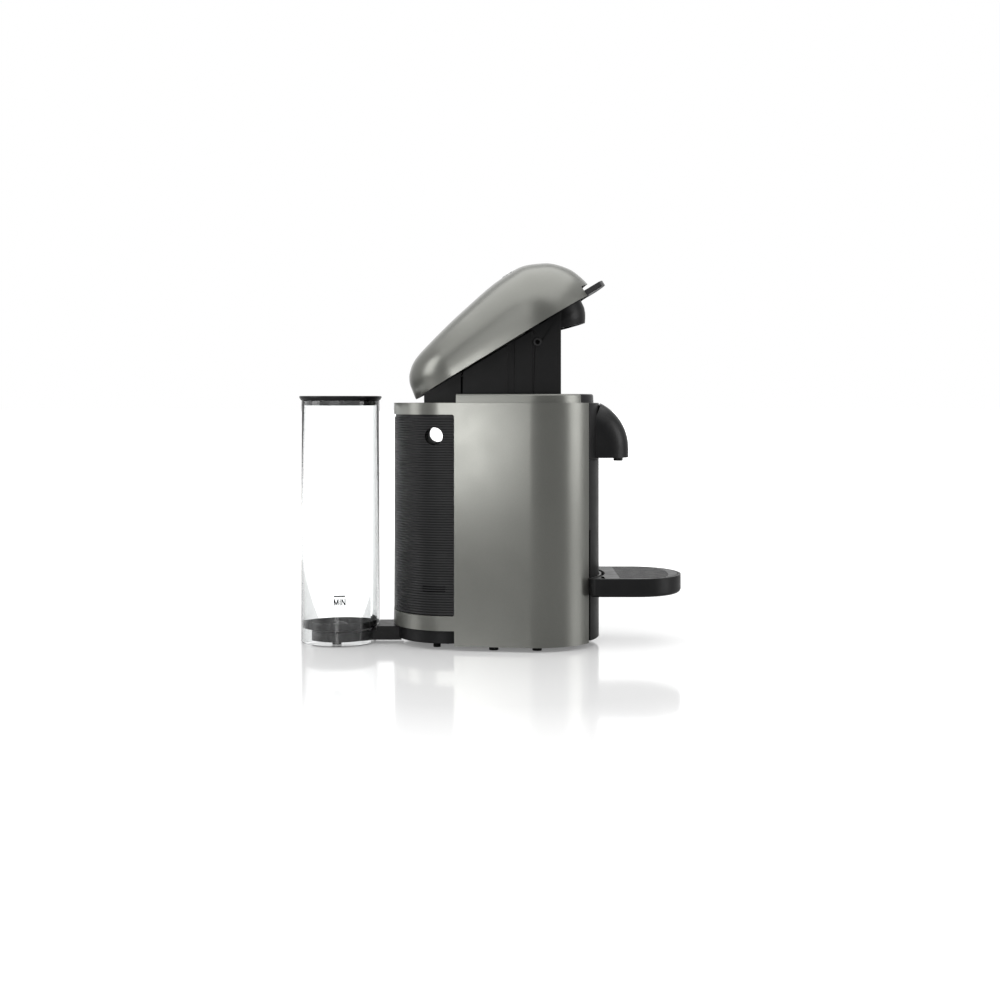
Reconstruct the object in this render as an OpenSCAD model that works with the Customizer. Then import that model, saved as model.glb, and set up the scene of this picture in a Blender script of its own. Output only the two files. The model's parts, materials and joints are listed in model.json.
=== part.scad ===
// Pod coffee machine with a motorised head, a swing-round water tank and a capsule bin.
// +X is the front, +Z is up, and the origin is on the surface it stands on,
// half way between the back of the tank and the front of the cup support.
// The head is drawn open, which is the rest position of every joint.

/* [Body] */
// Radius of the round rear end of the body, seen from above
rear_r = 60; // [59.5:0.25:60.5]
// Radius of the round front end of the body, seen from above
front_r = 71; // [70.5:0.25:71.5]
// Place of the rear end's centre along the body
rear_x = -46; // [-46.5:0.25:-45.5]
// Place of the front end's centre along the body
front_x = 49; // [48.5:0.25:49.5]
// Height of the painted casing's top rim
rim_z = 262.5; // [262:0.25:262.75]
// Wall thickness of the painted casing
wall = 2.2; // [2:0.1:2.4]
// Where the painted sides end at the back and the rear bands begin
seam_x = -38; // [-39:0.5:-37]
// Where the painted sides end at the front
shell_front_x = 106; // [105.5:0.25:106.5]
// Bottom of the ribbed rear cover
ribs_z0 = 36.6; // [36:0.2:38]
// Top of the ribbed rear cover
ribs_z1 = 250; // [249:0.5:251]
// Height of the through hole's axis
hole_z = 227; // [226:0.5:228]
// Place of the through hole's axis along the body
hole_x = -59.6; // [-60:0.2:-59]
// Radius of the through hole
hole_r = 9.15; // [9:0.05:9.3]

/* [Head] */
// Tilt of the head when it is open, in degrees
tilt = 31; // [30:0.5:32]
// Rise of the head's pivot from closed to open
lift = 79.5; // [78:0.5:80]
// Length of the head from rear tip to front lip
head_l = 227.6; // [227:0.2:228]
// Wall thickness of the head's shell
head_wall = 2.5; // [2.3:0.1:2.6]
// Pivot's distance in front of the head's rear tip
pivot_u = 150; // [149:0.5:151]
// Pivot's height above the head's rim
pivot_v = 5; // [4.5:0.25:5.5]
// Radius of the brew button
button_r = 7.4; // [7:0.1:7.5]

/* [Brewing] */
// Place of the capsule well's axis
well_x = 75; // [74.5:0.25:75.5]
// Inner radius of the capsule cup
cup_r = 29; // [28.5:0.25:29.5]
// Place of the spin motor's axis
motor_x = 5; // [4:0.5:6]
// Module of the lift rack and its pinion
gear_m = 1.5; // [1.5]
// Number of teeth on the lift pinion
pinion_teeth = 14; // [14]

/* [Water tank] */
// Distance from the swing axis to the tank's axis
arm_reach = 119.1; // [118.5:0.1:119.5]
// Outer radius of the tank
tank_r = 43; // [42.5:0.25:43.25]
// Height of the tank's open top
tank_z = 265; // [264:0.5:266]
// Wall thickness of the tank
tank_wall = 2.2; // [2:0.1:2.4]

/* [Bin and cup support] */
// Height of the joint between the bin and the outlet housing
bin_z1 = 201.5; // [201:0.5:202]
// Height of the surface that the cup stands on
cup_z = 75; // [74:0.5:76]
// Radius of the cup support's round front
cup_support_r = 52; // [51:0.5:52.5]
// Place of the cup support's centre
cup_support_x = 158.2; // [157.5:0.1:158.5]

/* [Hidden] */
$fn = 64;
FACE = 48;            // points along each round end of the body's outline
GAP = 0.3;            // play between parts that move past each other
RUN = 0.05;           // play of a shaft in its bore
BLACK = [0.06, 0.06, 0.065];
SATIN = [0.12, 0.12, 0.125];
PAINT = [0.45, 0.46, 0.43];
STEEL = [0.7, 0.7, 0.72];
CLEAR = [0.85, 0.9, 0.92, 0.35];

taper = asin((front_r - rear_r) / (front_x - rear_x));
base_z = 5;           // underside of the painted sides
ring_z0 = 7;          // underside of the swing ring
band_z0 = 21;         // underside of the lower rear band
deck_z0 = 257;
deck_z1 = 262;
collar_z1 = 272;
closed_rim_z = 263.3; // the head's rim when it is closed
closed_tip_x = rear_x - rear_r + 0.5;
pivot_x = closed_tip_x + pivot_u;
pivot_z = closed_rim_z + pivot_v + lift;
tip_x = pivot_x - pivot_u * cos(tilt) + pivot_v * sin(tilt);
tip_z = pivot_z - pivot_u * sin(tilt) - pivot_v * cos(tilt);
tank_x = rear_x - arm_reach;
nose_u = well_x - closed_tip_x;
front_u = front_x - closed_tip_x;
pitch_r = gear_m * pinion_teeth / 2;
pinion_z = 200;
rack_pitch_x = -11.2;
pinion_x = rack_pitch_x - pitch_r;
backlash = 0.2;
shelf_z0 = 134;
shelf_z1 = 137;
riser_x0 = -29.5;
riser_x1 = 76;
riser_y = 45;
riser_z0 = 232;
lever_u = 217.5;      // the lever's pivot, from the head's rear tip
lever_v = 11.7;
button_u = 160;
button_v = 65.6;
notch_half = 36.5;

// ---- shapes that repeat ----

function arc(centre, r, a0, a1, n) =
    [for (i = [0:n]) centre + r * [cos(a0 + (a1 - a0) * i / n), sin(a0 + (a1 - a0) * i / n)]];

// The body's outline from above, moved inwards by inset: two round ends joined by tangents.
function plan(inset) = concat(
    arc([front_x, 0], front_r - inset, -90 - taper, 90 + taper, FACE),
    arc([rear_x, 0], rear_r - inset, 90 + taper, 270 - taper, FACE));

module slab(inset, z0, z1) {
    translate([0, 0, z0]) linear_extrude(z1 - z0) polygon(plan(inset));
}

module band(inset0, inset1, z0, z1) {
    translate([0, 0, z0]) linear_extrude(z1 - z0) difference() {
        polygon(plan(inset0));
        polygon(plan(inset1));
    }
}

module box(x0, x1, y0, y1, z0, z1) {
    translate([x0, y0, z0]) cube([x1 - x0, y1 - y0, z1 - z0]);
}

module mid_box(x0, x1, half, z0, z1) {
    box(x0, x1, -half, half, z0, z1);
}

module post(x, y, r, z0, z1) {
    translate([x, y, z0]) cylinder(r = r, h = z1 - z0);
}

module tube(x, y, ro, ri, z0, z1) {
    translate([x, y, z0]) linear_extrude(z1 - z0) difference() {
        circle(ro);
        circle(ri);
    }
}

// A round bar along Y.
module bar_y(x, z, r, y0, y1) {
    translate([x, y0, z]) rotate([-90, 0, 0]) cylinder(r = r, h = y1 - y0);
}

// A side view in X and Z, given thickness from y0 to y1.
module plate_y(points, y0, y1) {
    translate([0, y1, 0]) rotate([90, 0, 0]) linear_extrude(y1 - y0) polygon(points);
}

module both_sides() {
    children();
    mirror([0, 1, 0]) children();
}

// Puts a shape drawn from the head's rear tip, with its rim level, in the open head's place.
module in_head() {
    translate([tip_x, 0, tip_z]) rotate([0, -tilt, 0]) children();
}

module head_plan(inset, v0, v1) {
    translate([-closed_tip_x, 0, 0]) slab(inset, v0, v1);
}

// Height of the open head's rim plane over a place x.
function rim_over(x) = tip_z + (x - tip_x) * tan(tilt);

// A round hose through the given points, closed at both ends.
module hose(path, r, sides = 8) {
    n = len(path);
    function along(i) =
        let(d = path[min(i + 1, n - 1)] - path[max(i - 1, 0)]) d / norm(d);
    function side(d) =
        let(s = cross(d, abs(d.z) > 0.9 ? [1, 0, 0] : [0, 0, 1])) s / norm(s);
    rings = [for (i = [0:n - 1]) let(d = along(i), s = side(d), t = cross(s, d))
        for (k = [0:sides - 1])
            path[i] + r * (cos(360 * k / sides) * s + sin(360 * k / sides) * t)];
    walls = [for (i = [0:n - 2], k = [0:sides - 1]) let(j = (k + 1) % sides)
        [i * sides + k, i * sides + j, (i + 1) * sides + j, (i + 1) * sides + k]];
    first = [for (k = [sides - 1:-1:0]) k];
    last = [for (k = [0:sides - 1]) (n - 1) * sides + k];
    polyhedron(rings, concat([first, last], walls));
}

// ---- casing ----

module side_shell() {
    difference() {
        intersection() {
            band(0, wall, base_z, rim_z);
            box(-200, shell_front_x, 0, 200, 0, 300);
        }
        box(-200, seam_x, -1, 200, 0, band_z0);
        box(-200, seam_x, -1, 200, ribs_z0, ribs_z1);
    }
}

module left_shell() {
    color(PAINT) mirror([0, 1, 0]) side_shell();
}

module right_shell() {
    color(PAINT) side_shell();
}

module rear_cover() {
    color(BLACK) difference() {
        intersection() {
            band(0.4, 2.6, ribs_z0 + GAP, ribs_z1 - GAP);
            box(-200, seam_x - GAP, -200, 200, 0, 300);
        }
        bar_y(hole_x, hole_z, hole_r + 0.45, -80, 80);
        for (i = [0:2]) box(-72, -47, -80, 80, 61.8 + 2.4 * i, 63.2 + 2.4 * i);
    }
}

module top_deck() {
    color(BLACK) difference() {
        union() {
            difference() {
                slab(wall + 0.2, deck_z0, deck_z1);
                mid_box(riser_x0 - 1.5, riser_x1 + 1.5, riser_y + 3.5, 0, 300);
            }
            mid_box(37.5, riser_x1 + 2, 41, deck_z0, deck_z1 - 1.5);
        }
        post(well_x, 0, 33.5, 0, 300);
    }
}

module collar_trim() {
    color(PAINT) intersection() {
        band(6, 12, deck_z1, collar_z1);
        box(-37, 95.5, -200, 200, 0, 300);
    }
}

module front_housing() {
    color(BLACK) {
        intersection() {
            band(6, 12, deck_z1, collar_z1);
            box(95.5, 300, -200, 200, 0, 300);
        }
        difference() {
            intersection() {
                band(0, 7.5, bin_z1, 261);
                box(shell_front_x + GAP, 300, -200, 200, 0, 300);
            }
            slab(wall, deck_z0 - GAP, 300);
            mid_box(100, 130, 9, 208, 226);
        }
    }
}

// The floor under the front of the body, cut round the swing ring.
module base_plate() {
    color(BLACK) difference() {
        intersection() {
            slab(wall + 0.3, base_z, base_z + 3);
            box(-1, shell_front_x - 0.5, -200, 200, 0, 50);
        }
        post(rear_x, 0, 58.5, 0, 50);
    }
}

// The deck over the swing ring, with the boss that the ring turns on and the walls round it.
module rear_base() {
    color(BLACK) difference() {
        union() {
            post(rear_x, 0, 41.4, ring_z0 - GAP, band_z0);
            intersection() {
                slab(wall + 0.3, band_z0 - 0.4, band_z0 + 2.6);
                union() {
                    box(-200, -1, -200, 200, 0, 50);
                    post(rear_x, 0, 61.5, 0, 50);
                }
            }
            intersection() {
                tube(rear_x, 0, 61.5, 58.5, base_z + 3, band_z0);
                box(-1, 30, -200, 200, 0, 50);
            }
            both_sides() box(-4, -1, 41, 56, base_z, band_z0);
        }
        post(rear_x, 0, 34, -1, band_z0 - 3);
        post(rear_x + 14, 0, 7, 0, 50);
    }
}

// The round plate under the swing ring that keeps it on its boss.
module ring_keeper() {
    color(BLACK) tube(rear_x, 0, 45, 33, 4.8, ring_z0 - GAP);
}

module chassis() {
    color(SATIN) difference() {
        union() {
            mid_box(-74, 30, 50, shelf_z0, shelf_z1);
            for (x = [-64, 18], y = [-49, 41])
                box(x, x + 8, y, y + 8, x < 0 ? band_z0 + 2.6 : base_z + 3, shelf_z0);
            box(-42, -10, 1, 4, shelf_z1, 216);
        }
        box(-15, -2, 32, 44, 100, 160);
        post(motor_x, 0, 8, 100, 200);
        bar_y(pinion_x, pinion_z, 5, -5, 10);
    }
}

module rear_guide() {
    x0 = -70.6;
    x1 = -31;
    top0 = rim_over(x0) - 0.8;
    top1 = rim_over(x1) - 0.8;
    color(BLACK) {
        both_sides() plate_y([[x0, deck_z1], [x1, deck_z1], [x1, top1], [x0, top0]], 41, riser_y);
        mid_box(x0, x0 + 3, 42, deck_z1, top0);
        plate_y([[x0, top0 - 3], [x1, top1 - 3], [x1, top1], [x0, top0]], -42, 42);
    }
}

module through_sleeve() {
    color(BLACK) difference() {
        bar_y(hole_x, hole_z, hole_r + 2, -51.5, 51.5);
        bar_y(hole_x, hole_z, hole_r, -60, 60);
    }
}

// ---- outlet ----

// Side view of the outlet cover, t inside its outer surface.
function spout_side(t) = concat(
    [[110, 202.5 - 2 * t], [152.5 - t, 202.5 - 2 * t]],
    arc([98.2, 213], 54.3 - t, 0, 66, 16),
    [[110, 262.6 - t]]);

module spout_solid(t, y) {
    intersection() {
        plate_y(spout_side(t), -y, y);
        union() {
            mid_box(110, 152.5 - y - t, y, 190, 270);
            post(152.5 - y - t, 0, y, 190, 270);
        }
        difference() {
            box(110, 200, -60, 60, 190, 270);
            slab(-0.05, 100, 300);
        }
    }
}

module spout_cover() {
    color(BLACK) difference() {
        spout_solid(0, 28);
        spout_solid(2.4, 25.6);
    }
}

module spout_nozzle() {
    color(BLACK) tube(141.5, 0, 5.2, 2.6, 198.5, 209);
}

// The pipe from the capsule chamber, which turns down into the nozzle.
module coffee_duct() {
    color(BLACK) difference() {
        union() {
            translate([113.2, 0, 216.5]) rotate([0, 90, 0]) cylinder(r = 5.4, h = 28.3);
            translate([141.5, 0, 216.5]) sphere(6);
            post(141.5, 0, 5.2, 209, 216);
            translate([119, 0, 216.5]) rotate([0, 90, 0]) cylinder(r = 7.5, h = 2.5);
        }
        translate([112, 0, 216.5]) rotate([0, 90, 0]) cylinder(r = 3.5, h = 29.5);
        post(141.5, 0, 3.4, 205, 216.5);
    }
}

// ---- brewing unit ----

module chamber_housing() {
    color(SATIN) difference() {
        union() {
            post(well_x, 0, 37, 186, deck_z0);
            post(well_x, 0, 13, 152, 187);
            translate([well_x + 34, 0, 216.5]) rotate([0, 90, 0]) cylinder(r = 7, h = 4);
        }
        post(well_x, 0, 34.5, 189, 300);
        post(well_x, 0, 9, 140, 200);
        translate([well_x + 30, 0, 216.5]) rotate([0, 90, 0]) cylinder(r = 3.5, h = 12);
    }
}

module spindle_bearings() {
    color(STEEL) for (z = [153, 178]) tube(well_x, 0, 9, 5 + RUN, z, z + 7);
}

module capsule_cup() {
    color(SATIN) translate([well_x, 0, 0]) difference() {
        union() {
            translate([0, 0, 206]) cylinder(r = 32.5, h = 32);
            translate([0, 0, 193]) cylinder(r1 = 18, r2 = 32.5, h = 13);
        }
        translate([0, 0, 206]) cylinder(r = cup_r, h = 40);
        translate([0, 0, 197]) cylinder(r1 = 16, r2 = cup_r, h = 9.01);
        translate([0, 0, 190]) cylinder(r = 5, h = 12);
    }
}

module spindle() {
    color(STEEL) post(well_x, 0, 5, 140, 197);
}

// A flat belt pulley with two flanges and a hole for its shaft.
module pulley(x, r, hole, z0) {
    translate([x, 0, z0]) rotate_extrude() polygon([
        [hole, 0], [r + 2, 0], [r + 2, 1.4], [r, 1.4], [r, 8.6], [r + 2, 8.6], [r + 2, 10], [hole, 10]]);
}

module cup_pulley() {
    color(STEEL) pulley(well_x, 24, 5, 141);
}

module motor_pulley() {
    color(STEEL) {
        pulley(motor_x, 12, 3, 141);
        post(motor_x, 0, 3, 130, 151);
    }
}

module drive_belt() {
    gap = well_x - motor_x;
    lean = asin(12 / gap);
    function loop(t) = concat(
        arc([well_x, 0], 24 + t, -90 - lean, 90 + lean, 40),
        arc([motor_x, 0], 12 + t, 90 + lean, 270 - lean, 24));
    color([0.05, 0.05, 0.05]) translate([0, 0, 143]) linear_extrude(6) difference() {
        polygon(loop(1.5));
        polygon(loop(GAP));
    }
}

module spin_motor() {
    color(STEEL) difference() {
        union() {
            post(motor_x, 0, 24, 86, shelf_z0);
            post(motor_x, 0, 10, 80, 87);
        }
        post(motor_x, 0, 3 + RUN, 129, 140);
        for (a = [0:45:315]) translate([motor_x, 0, 100]) rotate([0, 0, a]) box(22, 30, -3, 3, 0, 14);
    }
}

module lift_motor() {
    color(STEEL) {
        difference() {
            bar_y(pinion_x, pinion_z, 14, -32, 1);
            bar_y(pinion_x, pinion_z, 12.6, -28, -6);
        }
        bar_y(pinion_x, pinion_z, 11.8, -27.5, -6.5);
        bar_y(pinion_x, pinion_z, 4.9, 1, 5);
    }
}

module guide_rods() {
    color(STEEL) both_sides() post(22, 37, 3, shelf_z1, 256.5);
}

function flank(r) = let(base = pitch_r * cos(20), a = acos(min(1, base / r)))
    90 / pinion_teeth - backlash / 2 / pitch_r * 180 / PI
    + (tan(20) - 20 * PI / 180 - tan(a) + a * PI / 180) * 180 / PI;

module lift_pinion() {
    base = pitch_r * cos(20);
    root = pitch_r - 1.25 * gear_m;
    tip = pitch_r + 0.8 * gear_m;
    half = [for (i = [0:5]) let(r = base + (tip - base) * i / 5) [r, flank(r)]];
    profile = [for (k = [0:pinion_teeth - 1]) let(a = 360 * k / pinion_teeth) each concat(
        [root * [cos(a - half[0][1]), sin(a - half[0][1])]],
        [for (h = half) h[0] * [cos(a - h[1]), sin(a - h[1])]],
        [for (i = [5:-1:0]) half[i][0] * [cos(a + half[i][1]), sin(a + half[i][1])]],
        [root * [cos(a + half[0][1]), sin(a + half[0][1])]])];
    color([0.85, 0.85, 0.82]) {
        translate([pinion_x, 42 - GAP, pinion_z]) rotate([90, 0, 0])
            linear_extrude(8 - 2 * GAP) polygon(profile);
        bar_y(pinion_x, pinion_z, 3, 5.4, 35);
    }
}

// ---- water path ----

module water_pump() {
    color([0.8, 0.8, 0.78]) {
        translate([-24, -26, 44]) rotate([0, 90, 0]) cylinder(r = 11, h = 44);
        box(-12, 16, -43, -9, 28, 60);
        translate([-30, -26, 44]) rotate([0, 90, 0]) cylinder(r = 5, h = 7);
        translate([19, -26, 44]) rotate([0, 90, 0]) cylinder(r = 4, h = 4);
        for (x = [-11, -2]) box(x, x + 4, -38, -14, band_z0 + 2.6, 29);
    }
}

module thermoblock() {
    color(STEEL) {
        post(-60, 14, 24, band_z0 + 6, 112);
        for (z = [38:18:92]) post(-60, 14, 26, z, z + 6);
        post(-60, 14, 6, 111, 122);
        for (y = [4, 24]) post(-66, y, 3, band_z0 + 2.6, band_z0 + 7);
    }
}

module flow_meter() {
    color(BLACK) {
        post(-34, -36, 12, 92, 106);
        translate([-34, -36, 99]) rotate([0, 90, 0]) cylinder(r = 3, h = 18);
        post(-34, -36, 3, 84, 93);
        post(-34, -36, 5, 105, shelf_z0);
    }
}

module water_hoses() {
    top = band_z0 + 2.6;
    color([0.9, 0.9, 0.88, 0.8]) {
        hose([[-46, -30, top], [-46, -30, top + 6], [-50, -31, 42], [-47, -34, 62], [-40, -36, 74],
            [-34, -36, 80], [-34, -36, 84]], 3);
        hose([[-16, -36, 99], [-12, -36, 99], [-7, -36, 94], [-6, -38, 86], [-18, -42, 70],
            [-34, -38, 54], [-37, -30, 46], [-34, -26, 44], [-30, -26, 44]], 3);
        hose([[23, -26, 44], [26, -26, 44], [28, -22, 47], [26, -14, 54], [16, 2, 62], [-4, 6, 66],
            [-22, 2, 72], [-31, -4, 84], [-33, -6, 104], [-36, -4, 120], [-44, 4, 128],
            [-54, 12, 128.5], [-60, 14, 126], [-60, 14, 122]], 3);
    }
}

module control_board() {
    color([0.05, 0.3, 0.15]) {
        box(-40, 16, 47, 48.6, 30, 120);
        box(-30, -8, 33, 47, 40, 66);
        for (x = [-28, -12, 2]) translate([x, 47, 88]) rotate([90, 0, 0]) cylinder(r = 5, h = 12);
        box(-34, 10, 42.6, 47, 104, 114);
    }
}

module cord_gland() {
    color(BLACK) difference() {
        union() {
            post(rear_x + 14, 0, 6.8, band_z0 - 9, band_z0 + 10);
            post(rear_x + 14, 0, 9, band_z0 + 2.6, band_z0 + 5);
        }
        post(rear_x + 14, 0, 3.6, 0, 60);
    }
}

module feet() {
    color([0.08, 0.08, 0.08]) both_sides() {
        post(50, 55, 5, 0, base_z);
        post(4, 52, 5, 0, base_z);
        post(-57, 35.2, 4, 0, 4.8);
    }
}

module base_screws() {
    color(STEEL) {
        for (a = [0:60:300]) translate([rear_x, 0, 0]) rotate([0, 0, a + 30]) post(37.8, 0, 2.4, 3.6, 4.8);
        for (x = [26, 88], y = [-34, 34]) post(x, y, 3, 3.6, base_z);
    }
}

// ---- lifting frame ----

module riser_frame() {
    x0 = riser_x0;
    x1 = riser_x1;
    side = [[x0, riser_z0], [x1, riser_z0], [x1, rim_over(x1) - 1], [x0, rim_over(x0) - 1]];
    color(BLACK) difference() {
        union() {
            both_sides() {
                plate_y(side, riser_y - 3, riser_y);
                bar_y(pivot_x, pivot_z, 8, riser_y - 3, riser_y);
                plate_y([[-29, riser_z0 + 1], [19, riser_z0 + 1], [19, rim_over(19) - 2],
                    [-29, rim_over(-29) - 2]], riser_y - 0.1, riser_y + 1.4);
                plate_y([[26.5, riser_z0 + 1], [45, riser_z0 + 1], [45, rim_over(45) - 2],
                    [26.5, rim_over(26.5) - 2]], riser_y - 0.1, riser_y + 1.1);
                bar_y(50.8, 327.6, 4.5, riser_y - 1, riser_y + 1);
                box(15, 29, 31, 42.5, 235, 250);
            }
            mid_box(32.5, 35.5, 42.5, 240, rim_over(34) - 5);
        }
        both_sides() {
            post(22, 37, 3 + 0.1, 200, 300);
            bar_y(pivot_x, pivot_z, 3, 30, 60);
            bar_y(50.8, 327.6, 2.2, 30, 60);
        }
    }
}

module lift_rack() {
    pitch = PI * gear_m;
    add = 0.8 * gear_m;
    ded = 1.25 * gear_m;
    half = pitch / 4 - backlash / 2;
    n0 = -2;
    n1 = 18;
    teeth = [for (k = [n0:n1]) let(z = pinion_z + pitch * (k + 0.5)) each [
        [rack_pitch_x + ded, z - half - ded * tan(20)],
        [rack_pitch_x - add, z - half + add * tan(20)],
        [rack_pitch_x - add, z + half - add * tan(20)],
        [rack_pitch_x + ded, z + half + ded * tan(20)]]];
    z0 = pinion_z + pitch * n0;
    z1 = pinion_z + pitch * (n1 + 1);
    color([0.85, 0.85, 0.82])
        plate_y(concat([[rack_pitch_x + ded, z0]], teeth,
            [[rack_pitch_x + ded, z1], [-3, z1], [-3, z0]]), 34, 42);
}

module hinge_pins() {
    color(STEEL) both_sides() bar_y(pivot_x, pivot_z, 3, 36, riser_y);
}

module riser_caps() {
    color(STEEL) both_sides() bar_y(50.8, 327.6, 2.2, riser_y - 3, riser_y + 0.4);
}

// ---- head, drawn from its rear tip with the rim level ----

// Height of the head's top along its middle, from a few heights joined by smooth curves.
HEAD_U = [0, 3.4, 9.2, 22.2, 44.5, 94.4, 150.8, 168.2, 196.6, 217.2, 227.6];
HEAD_V = [3, 19.3, 28.7, 38, 44.9, 56.6, 65.4, 65.7, 56.1, 37.2, 11.8];

function head_slope(i) = i == 0 ? 3.2 : i == len(HEAD_U) - 1 ? -3.4 :
    let(a = (HEAD_V[i] - HEAD_V[i - 1]) / (HEAD_U[i] - HEAD_U[i - 1]),
        b = (HEAD_V[i + 1] - HEAD_V[i]) / (HEAD_U[i + 1] - HEAD_U[i]))
    a * b <= 0 ? 0 : 2 * a * b / (a + b);

function head_piece(u, i = 0) = i >= len(HEAD_U) - 2 || u <= HEAD_U[i + 1] ? i : head_piece(u, i + 1);

function head_top(u) = let(i = head_piece(u), h = HEAD_U[i + 1] - HEAD_U[i], t = (u - HEAD_U[i]) / h)
    HEAD_V[i] * (1 + 2 * t) * pow(1 - t, 2) + head_slope(i) * h * t * pow(1 - t, 2)
    + HEAD_V[i + 1] * t * t * (3 - 2 * t) - head_slope(i + 1) * h * t * t * (1 - t);

// Half the head's width at u, for its outline moved inwards by inset. Its front is a little oval.
function head_half(u, inset) =
    let(x = u + closed_tip_x, f = front_r - inset, r = rear_r - inset,
        xr = rear_x - r * sin(taper), xf = front_x - f * sin(taper),
        reach = closed_tip_x + head_l - front_x + 0.5 - inset)
    x < xr ? sqrt(max(0, r * r - pow(x - rear_x, 2))) :
    x < xf ? r * cos(taper) + (x - xr) * tan(taper) :
    x < front_x ? sqrt(f * f - pow(x - front_x, 2)) :
    f * sqrt(max(0, 1 - pow((x - front_x) / reach, 2)));

// One surface of the head: arches across it at stations that crowd towards its ends.
HEAD_ARCHES = 30;
HEAD_STEPS = 18;
ARCH_POWER = 2.5;

function head_grid(t) = [for (i = [0:HEAD_ARCHES])
    let(s = (1 - cos(180 * i / HEAD_ARCHES)) / 2,
        u0 = 0.2 + t,
        u = u0 + (head_l - 0.4 - 2 * t) * s,
        w = head_half(u, 0.5 + t),
        h = max(1, head_top(u) - t * (1 + 2.2 * pow(abs(2 * s - 1), 6))))
    for (j = [0:HEAD_STEPS]) let(a = 180 * j / HEAD_STEPS, c = cos(a))
        [u, w * sign(c) * pow(abs(c), 2 / ARCH_POWER), h * pow(max(0, sin(a)), 2 / ARCH_POWER)]];

module head_dome() {
    m = HEAD_STEPS + 1;
    total = (HEAD_ARCHES + 1) * m;
    last = HEAD_ARCHES * m;
    outer = [for (i = [0:HEAD_ARCHES - 1], j = [0:HEAD_STEPS - 1])
        [i * m + j, i * m + j + 1, (i + 1) * m + j + 1, (i + 1) * m + j]];
    inner = [for (f = outer) [for (k = [3:-1:0]) f[k] + total]];
    rim = [for (i = [0:HEAD_ARCHES - 1]) each [
        [i * m, (i + 1) * m, (i + 1) * m + total, i * m + total],
        [i * m + m - 1, i * m + m - 1 + total, (i + 1) * m + m - 1 + total, (i + 1) * m + m - 1]]];
    caps = [[for (j = [m - 1:-1:0]) j], [for (j = [0:m - 1]) last + j],
        [for (j = [0:m - 1]) total + j], [for (j = [m - 1:-1:0]) total + last + j],
        [m - 1, 0, total, total + m - 1],
        [last, last + m - 1, last + total + m - 1, last + total]];
    polyhedron(concat(head_grid(0), head_grid(head_wall)), concat(outer, inner, rim, caps));
}

module head_shell() {
    color(PAINT) in_head() resize([head_l - 0.4, 0, 0]) difference() {
        head_dome();
        mid_box(205, 240, notch_half, -5, 11.5);
        post(button_u, 0, 9.8, 50, 80);
    }
}

module head_frame() {
    color(BLACK) in_head() difference() {
        union() {
            difference() {
                head_plan(5, 10, 13);
                head_plan(9.4, 0, 40);
            }
            intersection() {
                head_plan(6, 10, 13);
                mid_box(140, 240, 41, 0, 40);
            }
            both_sides() {
                bar_y(pivot_u, pivot_v, 6, 37, 41.5);
                box(pivot_u - 6, pivot_u + 6, 37, 41.5, pivot_v, 11);
                box(213.8, 220, 17, 20, 10, 14.4);
            }
        }
        both_sides() bar_y(pivot_u, pivot_v, 3 + RUN, 30, 50);
        mid_box(213.8, 230, 17, 0, 30);
        bar_y(lever_u, lever_v, 1.5, -30, 30);
        post(nose_u, 0, 24, 0, 40);
    }
}

// A round bell that comes down over the capsule. Its lower edge slopes, lowest in front.
module brew_nose() {
    color(BLACK) in_head() translate([nose_u, 0, 0]) difference() {
        rotate_extrude() polygon([
            [24, 10], [31, 10], [31.4, 0], [30.6, -9], [28.3, -15], [25.3, -20], [22.2, -24.5],
            [19.8, -24.5], [19.8, -20], [22.5, -19.6], [26, -15], [27.5, -12.5], [28.4, -7.6],
            [28.4, 7], [24, 7]]);
        plate_y([[-40, -5], [40, -29], [40, -60], [-40, -60]], -40, 40);
    }
}

module injection_plate() {
    color(STEEL) in_head() translate([nose_u, 0, 0]) difference() {
        union() {
            translate([0, 0, -12]) cylinder(r = 24.6, h = 4);
            translate([0, 0, -8.5]) cylinder(r = 7, h = 24);
            translate([0, 0, -16]) cylinder(r1 = 0.8, r2 = 2.6, h = 4.5);
            for (a = [0:18:342]) rotate([0, 0, a]) translate([21.5, 0, -14.5])
                cylinder(r1 = 0.4, r2 = 1.2, h = 3);
        }
        translate([0, 0, -6]) cylinder(r = 3, h = 30);
    }
}

module head_seal() {
    color([0.5, 0.12, 0.08]) in_head() tube(nose_u, 0, 27.2, 24.7, -12, -8.5);
}

module button_bezel() {
    color(STEEL) in_head() tube(button_u, 0, 9.7, button_r + 0.2, button_v - 5, button_v + 0.7);
}

module button_switch() {
    color([0.05, 0.3, 0.15]) in_head() {
        mid_box(button_u - 14, button_u + 14, 10, 50, 51.6);
        mid_box(button_u - 3, button_u + 3, 3, 51.6, 55.5);
        both_sides() post(button_u + 11, 7, 1.5, 13, 50);
        both_sides() post(button_u - 11, 7, 1.5, 13, 50);
    }
}

module lever_pin() {
    color(STEEL) in_head() bar_y(lever_u, lever_v, 1.5, -20, 20);
}

module open_lever() {
    color(BLACK) in_head() difference() {
        union() {
            intersection() {
                tube(front_u, 0, 88.5, 68, 0.2, 6.3);
                mid_box(190, 260, 34, 0, 7);
            }
            bar_y(lever_u, lever_v, 2.6, -16.5, 16.5);
            mid_box(lever_u - 1.6, lever_u + 1.6, 16.5, 2.5, lever_v);
            mid_box(lever_u - 1.6, lever_u + 6.5, 16.5, 2.5, 6.3);
        }
        bar_y(lever_u, lever_v, 1.5 + RUN, -40, 40);
        post(front_u, 0, 66.2, -5, 9);
    }
}

module brew_button() {
    color([0.75, 0.76, 0.76]) in_head() post(button_u, 0, button_r, button_v - 7.5, button_v + 0.3);
}

// ---- bin and cup support ----

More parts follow.
